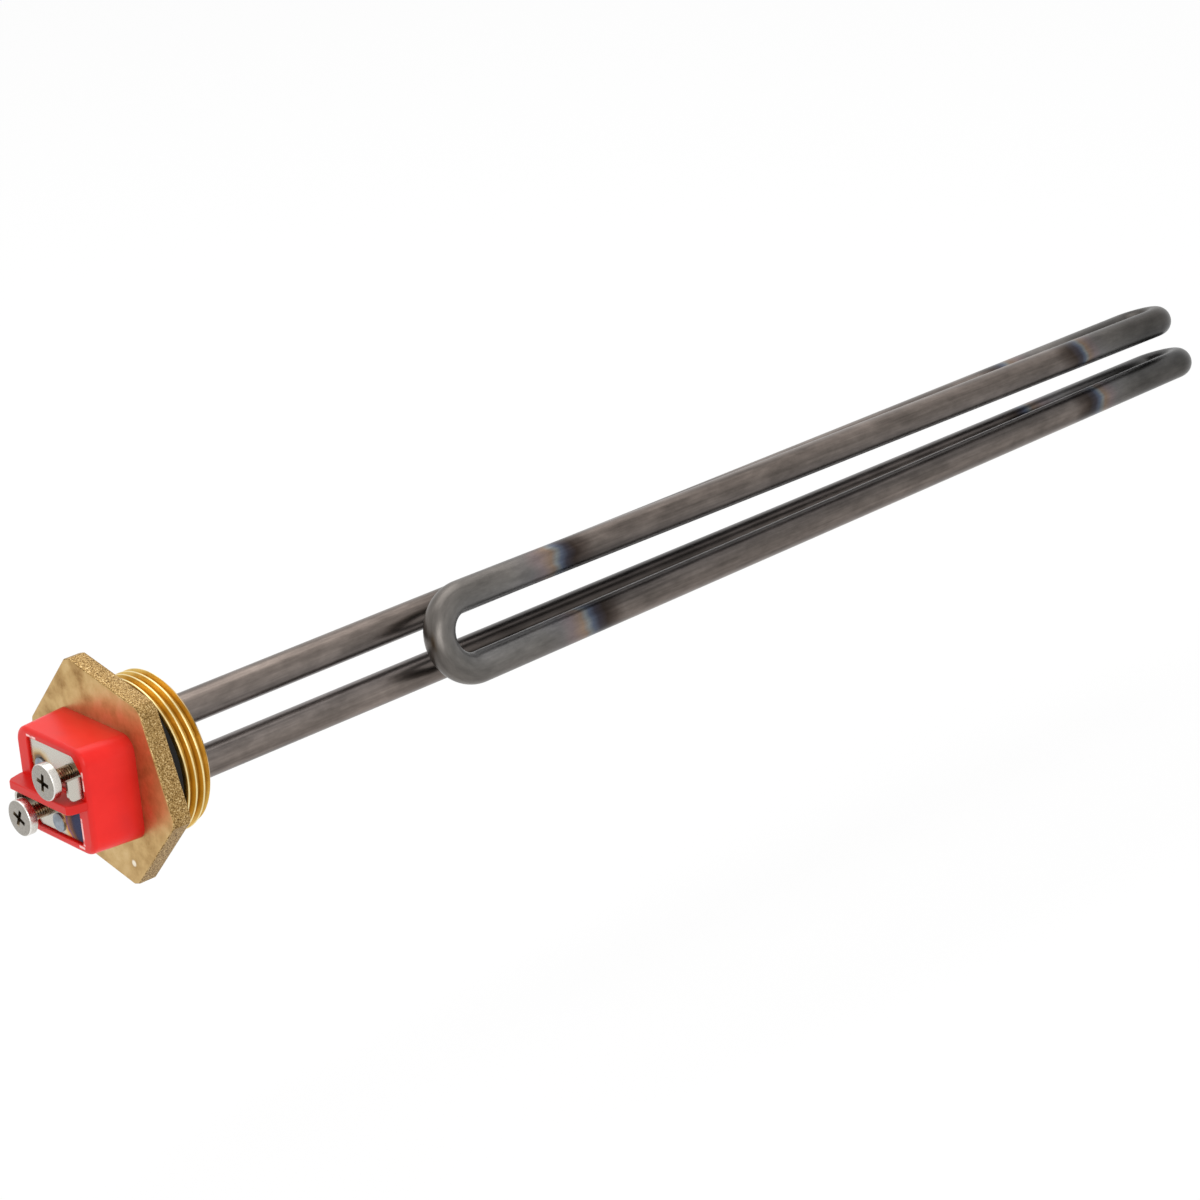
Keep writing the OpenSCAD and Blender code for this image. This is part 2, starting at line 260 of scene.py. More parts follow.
# Skin of a right-hand thread along +X whose points follow the helix, cut square at both ends.
# The form is one pitch of the profile, and lead is the chamfer at the end. Spare turns at both ends
# are pressed flat onto the ends.
def threadSkin(cut, segments, centreY=0.0, centreZ=0.0):
    form, pitch, start, end = cut["form"], cut["pitch"], cut["start"], cut["end"]
    count = (math.ceil((end - start) / pitch) + 5) * len(form)
    firstTurn = math.floor(start / pitch + cut["phase"]) - 2
    sides = [(form[-1][0] - 1, form[-1][1])] + list(form) + [(form[0][0] + 1, form[0][1])]
    known, faces = {}, []

    def radiusAt(x, angle):
        share = (x / pitch - angle / (2 * math.pi) + cut["phase"]) % 1.0
        for (t0, h0), (t1, h1) in zip(sides, sides[1:]):
            if t0 <= share <= t1:
                height = h0 + (h1 - h0) * (share - t0) / (t1 - t0)
        chamfer = cut["crest"] - max(0.0, x - (end - cut["lead"]))
        return min(cut["root"] + (cut["crest"] - cut["root"]) * height, chamfer)

    def spot(k, i):
        angle = 2 * math.pi * i / segments
        x = pitch * (firstTurn + k // len(form) + form[k % len(form)][0] - cut["phase"] + i / segments)
        x = min(max(x, start), end)
        r = radiusAt(x, angle)
        point = (x, centreY + r * math.cos(angle), centreZ + r * math.sin(angle))
        return known.setdefault(tuple(round(c, 4) for c in point), (len(known), point))[0]

    grid = [[spot(k, i) for i in range(segments)] for k in range(count)]
    for k in range(count - 1):
        for i in range(segments):
            if i + 1 < segments:
                quad = (grid[k][i], grid[k][i + 1], grid[k + 1][i + 1], grid[k + 1][i])
            elif k + len(form) + 1 < count:
                quad = (grid[k][i], grid[k + len(form)][0], grid[k + len(form) + 1][0], grid[k + 1][i])
            else:
                continue
            quad = tuple(dict.fromkeys(quad))
            if len(quad) > 2:
                faces.append(quad)
    faces += [tuple(grid[0][::-1]), tuple(grid[-1])]
    points = [point for index, point in sorted(known.values())]
    return points, faces


# Screw plug: hexagon with turned corners and broken edges, neck and pipe thread
plug = {
    "flats": 51.5, "corners": 58.2, "front": -9.85, "back": -4.6, "edge": 0.4, "turn": 18.5,
    "neck": 18.0, "neckLap": 0.2, "neckSides": 160, "punchAt": (-9.27, -21.9), "punchSize": (0.6, 1.05),
}
pipeThread = {
    "start": 0.0, "end": 8.2, "crest": 20.95, "root": 19.47, "pitch": 2.309, "phase": 0.547, "lead": 0.95,
    "form": ((0.07, 0.0), (0.13, 0.07), (0.39, 0.95), (0.43, 1.0),
             (0.57, 1.0), (0.61, 0.95), (0.87, 0.07), (0.93, 0.0)),
    "sides": 240, "grooveTone": 19.6, "crestTone": 20.93,
}

# Forged brass, face turned: a soft satin gold with faint lathe rings, brown handling stains
# and one punch mark
turnedBrass, tree, shader = startMaterial("turnedBrassFace", Metallic=1.0)
place = objectPlace(tree)
stain = noiseOf(tree, place, 6, 6.0, 0.62)
tone = rampOf(tree, stain, [(0.28, "#9a7642"), (0.4, "#b7945d"), (0.55, "#caa970"), (0.75, "#d8ba86")])
# Lathe feed is about 0.1 mm; drawn at 0.45 mm so that it shows
lathe = {"W": axisDistance(tree, place), "Scale": perMm(0.45), "Detail": 2.0}
rings = addNode(tree, "ShaderNodeTexNoise", lathe, noise_dimensions="1D").outputs[0]
punchFrom = distanceTo(tree, place, (plug["front"], *plug["punchAt"]))
punchInner, punchOuter = plug["punchSize"]
punch = remap(tree, punchFrom, punchInner * mm, punchOuter * mm, 1.0, 0.0)
bright = mixTone(tree, punch, tone, toLinear("#f3ead6"))
dent = calc(tree, "MULTIPLY_ADD", punch, -4.0, rings)
rough = fromNoise(tree, stain, 0.47, 0.34)
bump = bumpOf(tree, dent, 0.12, 0.05)
connect(tree, shader, Base_Color=bright, Roughness=rough, Normal=bump)

# Forged brass, blasted flanks: dull gold with a sandy grain that throws dark specks
blastedBrass, tree, shader = startMaterial("blastedBrassFlank", Metallic=1.0)
grit = noiseOf(tree, objectPlace(tree), 0.34, 2.0, 0.6)
tone = rampOf(tree, grit, [(0.34, "#644c2b"), (0.46, "#987847"), (0.58, "#bb9a64"), (0.7, "#e6cd9b")])
rough = fromNoise(tree, grit, 0.62, 0.42)
bump = bumpOf(tree, grit, 0.6, 0.12)
connect(tree, shader, Base_Color=tone, Roughness=rough, Normal=bump)

# Cut brass of the thread: tarnished gold in the grooves, and bright yellow on the crests, partly where they
# are rubbed and partly a painted highlight.
# The tone runs from the bottom of the grooves to just under the crests.
cutBrass, tree, shader = startMaterial("cutBrassThread", Metallic=1.0)
place = objectPlace(tree)
marks = noiseOf(tree, place, 4, 4.0, 0.6)
rise = remap(tree, axisDistance(tree, place), pipeThread["grooveTone"] * mm, pipeThread["crestTone"] * mm)
# The palest stop, on the crests, is partly a painted highlight
rubbed = rampOf(tree, rise, [(0.0, "#bb903f"), (0.4, "#dcb258"), (0.9, "#e6c068"), (1.0, "#f7e2a6")])
tone = scaleTone(tree, rubbed, fromNoise(tree, marks, 0.8, 1.06))
rough = fromNoise(tree, marks, 0.26, 0.38)
connect(tree, shader, Base_Color=tone, Roughness=rough)


def hexRing(x, inset):
    apothem, turned = plug["flats"] / 2 - inset, plug["corners"] / 2 - inset
    spread = 30 - math.degrees(math.acos(apothem / turned))
    angles = [math.radians(90 - plug["turn"] + 60 * side + spread * step / 3)
              for side in range(6) for step in range(-3, 4)]
    return [(x, turned * math.cos(a), turned * math.sin(a)) for a in angles]


hexEdge = roundedEdge(plug["edge"], range(90, -1, -15))
hexRings = [hexRing(plug["front"] + behind, inset) for behind, inset in hexEdge]
hexRings += [hexRing(plug["back"] - behind, inset) for behind, inset in reversed(hexEdge)]
points, faces = skinRings(hexRings)
hexFaces = len(faces)
neckEnds = [(plug["back"] - plug["neckLap"], plug["neck"]), (plug["neckLap"], plug["neck"])]
neckSkin = skinRings(turnedRings(neckEnds, plug["neckSides"]))
for morePoints, moreFaces in (neckSkin, threadSkin(pipeThread, pipeThread["sides"])):
    faces = faces + [tuple(i + len(points) for i in face) for face in moreFaces]
    points = points + morePoints
screwPlug = addPiece("plugBody", points, faces, [turnedBrass, blastedBrass, cutBrass], smoothAngle=24)
# The two faces of the hexagon are turned, its edges and flanks blasted, neck and thread cut
for polygon in screwPlug.data.polygons:
    if polygon.index >= hexFaces:
        polygon.material_index = 2
    elif abs(polygon.normal.x) < 0.8:
        polygon.material_index = 1
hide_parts("screw_plug")
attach(screwPlug, "heater")
print("plug made")

# Gasket: rounded rubber ring that fills the neck
seal = {"start": -4.58, "end": -0.02, "inner": 18.06, "outer": 20.68, "round": 0.5, "sides": 160}

# Moulded rubber: near black and matt, with a fine mould grain
mouldedRubber, tree, shader = startMaterial(
    "mouldedRubber", Roughness=0.75, IOR=1.52, Specular_IOR_Level=0.3)
grain = noiseOf(tree, objectPlace(tree), 0.6, 3.0)
tone = rampOf(tree, grain, [(0.3, "#0b0b0b"), (0.7, "#161514")])
bump = bumpOf(tree, grain, 0.3, 0.1)
connect(tree, shader, Base_Color=tone, Normal=bump)

sealEdge = roundedEdge(seal["round"], (90, 60, 30, 0))
profile = [(seal["start"], seal["inner"])]
profile += [(seal["start"] + behind, seal["outer"] - inset) for behind, inset in sealEdge]
profile += [(seal["end"] - behind, seal["outer"] - inset) for behind, inset in reversed(sealEdge)]
profile += [(seal["end"], seal["inner"]), (seal["start"], seal["inner"])]
points, faces = skinRings(turnedRings(profile, seal["sides"]), caps=False)
gasket = addPiece("gasketRing", points, faces, [mouldedRubber], smoothAngle=50)
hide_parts("gasket")
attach(gasket, "heater")
print("gasket made")

# Heating element: one tube that goes out, back, round and out again. The bands are the distances in mm
# from each bend to where its heat stopped; 1 is the upper side and -1 the lower.
element = {
    "tube": 4.25, "start": -10.85, "legSet": 3.6, "legPitch": 14.3, "fold": 13.7, "drop": 1.0,
    "turn": plug["turn"], "farX": 378.0, "farStep": 4.0, "nearX": 100.6, "nearPitch": 19.2,
    "flatten": 0.03, "sides": 48, "bendSteps": 40, "straightSteps": 90,
    "nearBand": {1: 33.0, -1: 37.0}, "farBand": {1: 36.0, -1: 38.4}, "legBand": 55.0,
    "farWeight": 1.5, "farDeep": 3.0, "heatSpan": 200.0, "flameFrom": 342.0, "flameTo": 364.0,
}


# Place on the tube's skin; a stretch of 0.02 draws a grain 50 times as long as wide
def skinPlace(tree, skin, stretch):
    return multiplyVectors(tree, skin, (stretch, element["tube"] * mm, element["tube"] * mm))


# Drawn nickel-iron alloy tube, oxidised by annealing: dark warm grey with long draw streaks
# and rubbed patches. The bends were softened with a torch, so they are matt neutral grey, and a band
# of temper colours marks where the heat stopped. Map "heat" carries the distance to that band, 1 unit
# to a heat span; map "path" carries the length along the tube in metres and the turn around it.
drawnAlloy, tree, shader = startMaterial("drawnAlloySheath", Metallic=1.0)
heatAt = splitAxes(tree, addNode(tree, "ShaderNodeUVMap", uv_map="heat").outputs[0])[0]
pathAt = splitAxes(tree, addNode(tree, "ShaderNodeUVMap", uv_map="path").outputs[0])
around = calc(tree, "MULTIPLY", pathAt[1], 2 * math.pi)
across = calc(tree, "COSINE", around)
upward = calc(tree, "SINE", around)
skin = addNode(tree, "ShaderNodeCombineXYZ", {0: pathAt[0], 1: across, 2: upward}).outputs[0]
drawn = noiseOf(tree, skinPlace(tree, skin, 0.02), 2.2, 6.0, 0.62)
patchPlace = skinPlace(tree, skin, 0.33)
patch = noiseOf(tree, patchPlace, 5, 6.0, 0.62)
waver = noiseOf(tree, patchPlace, 5, 1.0)
blotchPlace = skinPlace(tree, skin, 0.45)
blotch = noiseOf(tree, blotchPlace, 4, 5.0, 0.66)
pebble = noiseOf(tree, blotchPlace, 0.8, 3.0)
# The middle takes in half of the waver, so the band stays where it was measured
waverSize = 0.03
bandMiddle = 0.5 + waverSize / 2
bandAt = calc(tree, "MULTIPLY_ADD", waver, waverSize, heatAt)
band = remap(tree, bandAt, bandMiddle - 0.09, bandMiddle + 0.06)
heat = rampOf(tree, band, [
    (0.0, "#6d6c6a"), (0.22, "#6c6b6b"), (0.36, "#736a6b"), (0.49, "#7a6b5e"), (0.545, "#6f7577"),
    (0.59, "#4f5868"), (0.65, "#393840"), (0.74, "#38312d"), (0.85, "#4e4743"), (0.98, "#67615d")])
annealed = remap(tree, band, 0.35, 0.8, 1.0, 0.0)
# Streaks fade where the tube was softened
streaks = remap(tree, drawn, 0.34, 0.66, -0.3, 0.23)
tint = calc(tree, "MULTIPLY_ADD", streaks, remap(tree, annealed, 0.0, 1.0, 1.0, 0.3), 1.0)
warm = remap(tree, patch, 0.32, 0.68, 0.7, 1.28)
mottle = remap(tree, blotch, 0.32, 0.68, 0.85, 1.15)
plugward = remap(tree, heatAt, 0.0, 2.0)
# Along the two runs, painted shade darkens the sides that look at the neighbouring tube,
# and painted light brightens the outer sides
outer = remap(tree, across, -1.0, 1.0, -0.32, 0.34)
onRun = remap(tree, plugward, 0.74, 0.86, 1.0, 0.0)
runShadeShare = calc(tree, "MULTIPLY", calc(tree, "SUBTRACT", 1.0, annealed), onRun)
runLightAndShade = calc(tree, "MULTIPLY_ADD", outer, runShadeShare, 1.0)
cast = remap(tree, across, -1.0, 1.0)
cast = rampOf(tree, cast, [(0.0, "#fbfbff"), (0.5, "#fffbf8"), (1.0, "#fff6f0")])
# The far bends were held longest in the flame and are darker; painted shade darkens the legs beside
# the loop, and they are paler at the plug
frameX = splitAxes(tree, objectPlace(tree))[0]
flame = remap(tree, frameX, element["flameFrom"] * mm, element["flameTo"] * mm, 1.0, 0.44)
# Painted shade darkens the legs beside the loop; the legs are paler at the plug
clear = rampOf(tree, plugward, [(0.51, 1.0), (0.57, 0.62), (0.77, 0.66), (0.86, 1.25), (0.96, 1.4)])
for factor in (warm, mottle, runLightAndShade, flame, clear):
    tint = calc(tree, "MULTIPLY", tint, factor)
tone = multiplyVectors(tree, scaleTone(tree, heat, tint), cast)
rough = calc(tree, "MULTIPLY_ADD", patch, 0.16, remap(tree, annealed, 0.0, 1.0, 0.23, 0.27))
# Bending raises a fine pebbled skin on the softened metal
bump = bumpOf(tree, drawn, 0.08, 0.08)
peel = bumpOf(tree, pebble, calc(tree, "MULTIPLY", annealed, 0.22), 0.06, under=bump)
connect(tree, shader, Base_Color=tone, Roughness=rough, Normal=peel)


# Stations along the tube: centre, two directions across it, how much it is bent there,
# and the distance to the heat band
def elementStations():
    e = element
    fold = e["fold"] / 2
    legZ = e["legPitch"] / 2
    near = e["nearPitch"] / 2
    loopY = e["legSet"] - e["fold"]
    spread = math.asin((near - legZ) / (e["farX"] - e["nearX"]))
    tangent = math.pi / 2 - spread
    stations = []

    def straight(first, last, u0, v0, u1, v1, heatAt):
        for k in range(e["straightSteps"] + 1):
            t = k / e["straightSteps"]
            centre = Vector(first).lerp(Vector(last), t)
            u = Vector(u0).lerp(Vector(u1), t).normalized()
            v = Vector(v0).lerp(Vector(v1), t).normalized()
            stations.append((centre, u, v, 0.0, heatAt(t)))

    def flipped(first, last, u0, v0, u1, v1):
        return last, first, u1, v1, u0, v0

    def bend(at, start, stop, heat0, heat1, deep):
        for k in range(1, e["bendSteps"]):
            t = k / e["bendSteps"]
            centre, u, v = at(start + (stop - start) * t)
            bent = math.sin(math.pi * t)
            heat = heat0 + (heat1 - heat0) * t - deep * bent
            stations.append((Vector(centre), Vector(u), Vector(v), bent, heat))

    def farAt(far, side):
        return lambda a: ((far + fold * math.sin(a), e["legSet"] - fold * (1 - math.cos(a)), side * legZ),
                          (0, 0, side), (-math.sin(a), -math.cos(a), 0))

    def nearAt(a):
        centre = (e["nearX"] + near * math.cos(a), loopY, near * math.sin(a))
        return centre, (math.cos(a), 0, math.sin(a)), (0, 1, 0)

    for side in (1, -1):
        far = e["farX"] + (e["farStep"] if side < 0 else 0.0)
        legLength, runLength = far - e["start"], far - e["nearX"]
        tip, tipU, tipV = nearAt(side * tangent)
        up, inward = (0, 0, side), (0, -1, 0)
        legStart = (e["start"], e["legSet"], side * legZ)
        legEnd = (far, e["legSet"], side * legZ)
        leg = (legStart, legEnd, up, inward, up, inward)
        run = ((far, loopY, side * legZ), tip, up, tipV, tipU, tipV)
        farHeat = -e["farWeight"] * e["farBand"][side]

        def legHeat(t):
            return legLength * (1 - t) - e["legBand"]

        # Distances inside the far band count more, because those ends were heated longer
        def runHeat(t):
            pastFar = runLength * t - e["farBand"][side]
            pastNear = runLength * (1 - t) - e["nearBand"][side]
            return min(pastFar * (e["farWeight"] if pastFar < 0 else 1.0), pastNear)

        if side > 0:
            straight(*leg, legHeat)
            bend(farAt(far, side), 0, math.pi, -e["legBand"], farHeat, e["farDeep"])
            straight(*run, runHeat)
            bend(nearAt, tangent, 2 * math.pi - tangent, -e["nearBand"][1], -e["nearBand"][-1], 0.0)
        else:
            straight(*flipped(*run), lambda t: runHeat(1 - t))
            bend(farAt(far, side), math.pi, 0, farHeat, -e["legBand"], e["farDeep"])
            straight(*flipped(*leg), lambda t: legHeat(1 - t))
    return stations


# The loop frame is turned with the hexagon and sits a little below the axis
loopTurn = Matrix.Rotation(math.radians(-element["turn"]), 4, "X")
loopFrame = loopTurn @ Matrix.Translation((0, 0, -element["drop"]))
stations = elementStations()
tubeRings = []
for centre, u, v, bent, heat in stations:
    # A bend squeezes the tube a little towards its own centre and widens it across
    inFarBend = abs(u.z) > 0.99 and abs(v.y) < 0.999
    squeezeU = 1 + element["flatten"] * bent * (1 if inFarBend else -1)
    squeezeV = 2 - squeezeU
    tubeRing = []
    for i in range(element["sides"]):
        a = 2 * math.pi * i / element["sides"]
        outward = math.cos(a) * squeezeU * u + math.sin(a) * squeezeV * v
        tubeRing.append(loopFrame @ (centre + element["tube"] * outward))
    tubeRings.append(tubeRing)
points, faces = skinRings(tubeRings)
sheath = addPiece("elementTube", points, faces, [drawnAlloy], smoothAngle=60)
heats = [station[-1] for station in stations]
lengths = [0.0]
for before, after in zip(stations, stations[1:]):
    lengths.append(lengths[-1] + (after[0] - before[0]).length)
sheath.data.uv_layers.new(name="heat")
sheath.data.uv_layers.new(name="path")
heatMap, pathMap = sheath.data.uv_layers["heat"], sheath.data.uv_layers["path"]
for polygon in sheath.data.polygons:
    spots = [divmod(sheath.data.loops[k].vertex_index, element["sides"]) for k in polygon.loop_indices]
    # The last strip closes the turn, so its far side counts as a full turn
    closing = any(i == element["sides"] - 1 for station, i in spots)
    for k, (station, i) in zip(polygon.loop_indices, spots):
        turned = 1.0 if closing and i == 0 else i / element["sides"]
        heatMap.data[k].uv = (0.5 + heats[station] / element["heatSpan"], turned)
        pathMap.data[k].uv = (lengths[station] * mm, turned)
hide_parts("element_sheath")
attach(sheath, "heater")
print("element made:", len(points), "points")

# Terminal plates: they keep their solids. The upper one is measured here; the lower one is the same,
# turned half round.
plate = {
    "top": 11.5, "bottom": 1.9, "end": 9.2, "ear": 12.3, "shoulderY": 3.0, "shoulderZ": 4.0, "gap": 0.3,
    "screwY": 6.5, "screwZ": 6.7, "weld": {1: (5.37, 4.69), -1: (0.83, -8.87)},
    "heatReach": 12.0, "wander": 1.6,
}

# Nickel-plated steel strip: pale warm grey with rolling lines. The spot weld coloured it: a small tan
# halo on the upper strip, and orange, purple and brown down to dark navy at the plain end of the lower one.
# Each centre is in mm, and each stop is the distance from it in mm.
weldHeat = {
    "upper": {"centre": plate["weld"][1], "stops": [
        (2.2, "#5b5754"), (2.8, "#745f49"), (3.4, "#a98555"), (4.2, "#cbb895"), (5.4, "#cbc7bd")]},
    "lower": {"centre": (-9.4, -6.9), "stops": [
        (3.4, "#22274a"), (4.7, "#2e243e"), (5.6, "#693f28"), (6.4, "#86583c"), (7.0, "#784672"),
        (7.6, "#d6923f"), (8.4, "#d6bc90"), (9.6, "#cbc7bd")]},
}
platedStrips = {}
for name, tinted in weldHeat.items():
    platedStrips[name], tree, shader = startMaterial("nickelStrip" + name.capitalize(), Metallic=1.0)
    place = objectPlace(tree)
    rolling = addNode(tree, "ShaderNodeMapping", {"Vector": place, "Scale": (1.0, 0.12, 1.0)})
    rolled = noiseOf(tree, rolling.outputs[0], 0.5, 4.0)
    wander = noiseOf(tree, place, 3, 3.0)
    away = axisDistance(tree, place, tinted["centre"])
    drift = calc(tree, "MULTIPLY_ADD", wander, plate["wander"] * mm, away)
    # The span starts at half of the wander, so the colours stay where they were measured
    spanStart = plate["wander"] / 2
    span = remap(tree, drift, spanStart * mm, (spanStart + plate["heatReach"]) * mm)
    heat = rampOf(tree, span, [(far / plate["heatReach"], colour) for far, colour in tinted["stops"]])
    tone = scaleTone(tree, heat, fromNoise(tree, rolled, 0.92, 1.03))
    rough = fromNoise(tree, rolled, 0.2, 0.34)
    bump = bumpOf(tree, rolled, 0.05, 0.03)
    connect(tree, shader, Base_Color=tone, Roughness=rough, Normal=bump)
print("plate finish ready")

# Terminal block: tapered moulding with two plate pockets and the barrier between them. Each hole is
# its start and end along X and its radius. Each rubbed line is its middle and half length in Y, then in Z.
block = {
    "plug": -9.86, "rim": -23.6, "widthBase": 32.0, "widthRim": 28.4, "height": 28.0, "corner": 4.2,
    "cornerKeep": 0.4, "cornerSteps": 8, "round": 1.1, "plateBack": -22.0, "over": 2.0,
    "barrier": 2.4, "barrierOut": 5.0, "barrierIn": 1.5, "barrierHalf": 12.8, "barrierRoot": 13.6,
    "barrierStep": 0.8, "barrierCut": 1.0, "rimRound": 0.35, "pocketCorner": 0.9,
    "screwHoles": ((-22.5, -20.5, 3.5), (-22.5, -14.5, 2.5)),
    "pinHoles": ((-25.6, -8.0, 1.8), (-12.55, -8.0, 4.55)), "holeSides": 40,
    "rubbedLines": ((7.4, 1.9, 12.35, 0.2), (-13.1, 0.2, 6.3, 2.4),
                    (-10.1, 0.24, -8.0, 3.6), (-8.9, 1.1, -12.4, 0.24)),
    "rubbedFrom": -23.5, "rubbedTo": -23.1, "rubbedFade": 0.15,
}

# Moulded melamine: hot red with a smooth gloss, faint flow clouds and a slight orange peel. Painted shade
# darkens the red on the barrier, the front and beside the plug. Fitting the strips rubbed pale lines on the
# front, beside the pockets.
mouldedMelamine, tree, shader = startMaterial("mouldedMelamine", IOR=1.5, Specular_IOR_Level=0.32)
place = objectPlace(tree)
axes = splitAxes(tree, place)
cloud = noiseOf(tree, place, 9, 4.0, 0.55)
tone = rampOf(tree, cloud, [(0.25, "#dd150d"), (0.5, "#e51a12"), (0.75, "#ea2219")])
# Painted shade: a darker red on the barrier, on the front face and towards the plug
plugward = remap(tree, axes[0], (block["rim"] - block["barrierOut"]) * mm, block["plug"] * mm)
deep = rampOf(tree, plugward, [
    (0.0, 0.72), (0.25, 0.76), (0.29, 0.84), (0.335, 1.0), (0.63, 1.0), (0.868, 0.86), (1.0, 0.6)])
tone = scaleTone(tree, tone, deep)
inFront = remap(tree, axes[0], block["rubbedFrom"] * mm, block["rubbedTo"] * mm, 1.0, 0.0)
rubbed = 0.0
for lineY, halfY, lineZ, halfZ in block["rubbedLines"]:
    line = inFront
    for axis, middle, half in ((1, lineY, halfY), (2, lineZ, halfZ)):
        away = calc(tree, "ABSOLUTE", calc(tree, "SUBTRACT", axes[axis], middle * mm))
        close = remap(tree, away, half * mm, (half + block["rubbedFade"]) * mm, 1.0, 0.0)
        line = calc(tree, "MULTIPLY", line, close)
    rubbed = calc(tree, "MAXIMUM", rubbed, line)
wear = noiseOf(tree, place, 1.5, 3.0)
rubbed = calc(tree, "MULTIPLY", rubbed, remap(tree, wear, 0.36, 0.5, 0.1, 0.72))
tone = mixTone(tree, rubbed, tone, toLinear("#f8d8d4"))
rough = fromNoise(tree, cloud, 0.3, 0.4)
bump = bumpOf(tree, noiseOf(tree, place, 0.9, 2.0), 0.08, 0.06)
connect(tree, shader, Base_Color=tone, Roughness=rough, Normal=bump)


def blockRing(x, inset):
    t = (x - block["rim"]) / (block["plug"] - block["rim"])
    halfY = (block["widthRim"] + (block["widthBase"] - block["widthRim"]) * t) / 2 - inset
    halfZ = block["height"] / 2 - inset
    r = block["corner"] - inset * block["cornerKeep"]
    outline = []
    for middle, sy, sz in ((45, 1, 1), (135, -1, 1), (225, -1, -1), (315, 1, -1)):
        for step in range(block["cornerSteps"] + 1):
            a = math.radians(middle - 45 + 90 * step / block["cornerSteps"])
            outline.append((x, sy * (halfY - r) + r * math.cos(a), sz * (halfZ - r) + r * math.sin(a)))
    return outline


# Moves every side of a convex outline outwards by the same amount
def grownOutline(outline, amount):
    grown = []
    for k, here in enumerate(outline):
        before, after = outline[k - 1], outline[(k + 1) % len(outline)]
        first = (Vector(here) - Vector(before)).normalized()
        second = (Vector(after) - Vector(here)).normalized()
        normal0, normal1 = Vector((first.y, -first.x)), Vector((second.y, -second.x))
        grown.append(tuple(Vector(here) + (normal0 + normal1) * amount / (1 + normal0.dot(normal1))))
    return grown


def roundedOutline(outline, r, steps=6):
    rounded = []
    for k, here in enumerate(outline):
        corner = Vector(here)
        first = (Vector(outline[k - 1]) - corner).normalized()
        second = (Vector(outline[(k + 1) % len(outline)]) - corner).normalized()
        half = first.angle(second) / 2
        centre = corner + (first + second).normalized() * r / math.sin(half)
        start = corner + first * r / math.tan(half) - centre
        stop = corner + second * r / math.tan(half) - centre
        for step in range(steps + 1):
            outward = (start * (1 - step / steps) + stop * step / steps).normalized()
            rounded.append(tuple(centre + outward * r))
    return rounded


front = block["rim"]
blockEdge = roundedEdge(block["round"], (90, 72, 54, 36, 18, 0))
blockRings = [blockRing(front + behind, inset) for behind, inset in blockEdge]
blockRings.append(blockRing(block["plug"], 0.0))
terminalBlock = addPiece("terminalMoulding", *skinRings(blockRings), [mouldedMelamine])

# The barrier is a fence with rounded edges, added first
root, half, cut = block["barrierRoot"], block["barrierHalf"], block["barrierCut"]
fenceBack, fenceStep = front + block["barrierIn"], front - block["barrierStep"]
fenceFront = front - block["barrierOut"]
fence = [(fenceBack, -root), (fenceBack, root), (fenceStep, root), (fenceFront + cut, half),
         (fenceFront, half - cut), (fenceFront, cut - half), (fenceFront + cut, -half), (fenceStep, -root)]
rimEdge = roundedEdge(block["rimRound"], (0, 22.5, 45, 67.5, 90))
levels = [(block["barrier"] / 2 - behind, -inset) for behind, inset in rimEdge]
levels = [(-high, grow) for high, grow in reversed(levels)] + levels
tools = [("UNION", [[(x, y, high) for x, y in grownOutline(fence, grow)] for high, grow in levels])]

# Each pocket has a rounded rim, and holes for the screw, the pin and the end of the sheath
gap = plate["gap"]
pocketEnd, pocketEar = plate["end"] + gap, -plate["ear"] - gap
pocketTop, pocketBottom = plate["top"] + gap, plate["bottom"] - gap
pocket = [(pocketEnd, pocketBottom), (pocketEnd, pocketTop),
          (plate["shoulderY"] - plate["ear"] - gap / 2, pocketTop),
          (pocketEar, plate["top"] - plate["shoulderZ"] + gap / 2), (pocketEar, pocketBottom)]
pocket = roundedOutline(pocket, block["pocketCorner"])
depths = [(front - block["over"], block["rimRound"])]
depths += [(front + behind, inset) for behind, inset in reversed(rimEdge)]
depths += [(block["plateBack"], 0.0)]
for side in (1, -1):
    pocketRings = [[(x, side * y, side * z) for y, z in grownOutline(pocket, grow)] for x, grow in depths]
    tools.append(("DIFFERENCE", pocketRings))
    screwAt = (-side * plate["screwY"], side * plate["screwZ"])
    for holes, centre in ((block["screwHoles"], screwAt), (block["pinHoles"], plate["weld"][side])):
        for start, end, r in holes:
            tools.append(("DIFFERENCE", turnedRings([(start, r), (end, r)], block["holeSides"], *centre)))
for operation, toolRings in tools:
    shapePiece(terminalBlock, operation, *skinRings(toolRings))
terminalBlock.data.materials.clear()
terminalBlock.data.materials.append(mouldedMelamine)
for polygon in terminalBlock.data.polygons:
    polygon.material_index = 0
smoothPiece(terminalBlock, angle=32)
# Flat sides keep flat normals beside the rounded edges
weighted = terminalBlock.modifiers.new("flatSides", "WEIGHTED_NORMAL")
weighted.keep_sharp = True
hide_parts("terminal_block")
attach(terminalBlock, "heater")
print("block made:", len(terminalBlock.data.polygons), "faces")

# Terminal screws: rounded head with a cross recess, and a cut shank
screw = {
    "front": -30.6, "under": -28.2, "head": 4.7, "edge": 0.45, "flat": 2.5, "hub": 0.05, "underEdge": 0.15,
    "sides": 96,
    "cross": 5.0, "slot": 1.15, "deep": 1.4, "crossOver": 0.5, "crossMouth": 1.04, "crossFloor": 0.72,
    "turn": {"upper": 10, "lower": 24}, "finishReach": 8.0,
}
screwThread = {
    "start": -28.25, "end": -20.3, "crest": 2.0, "root": 1.58, "pitch": 0.7, "phase": 0.0, "lead": 0.4,
    "form": ((0.1, 0.0), (0.4, 1.0), (0.6, 1.0), (0.9, 0.0)), "sides": 48,
}
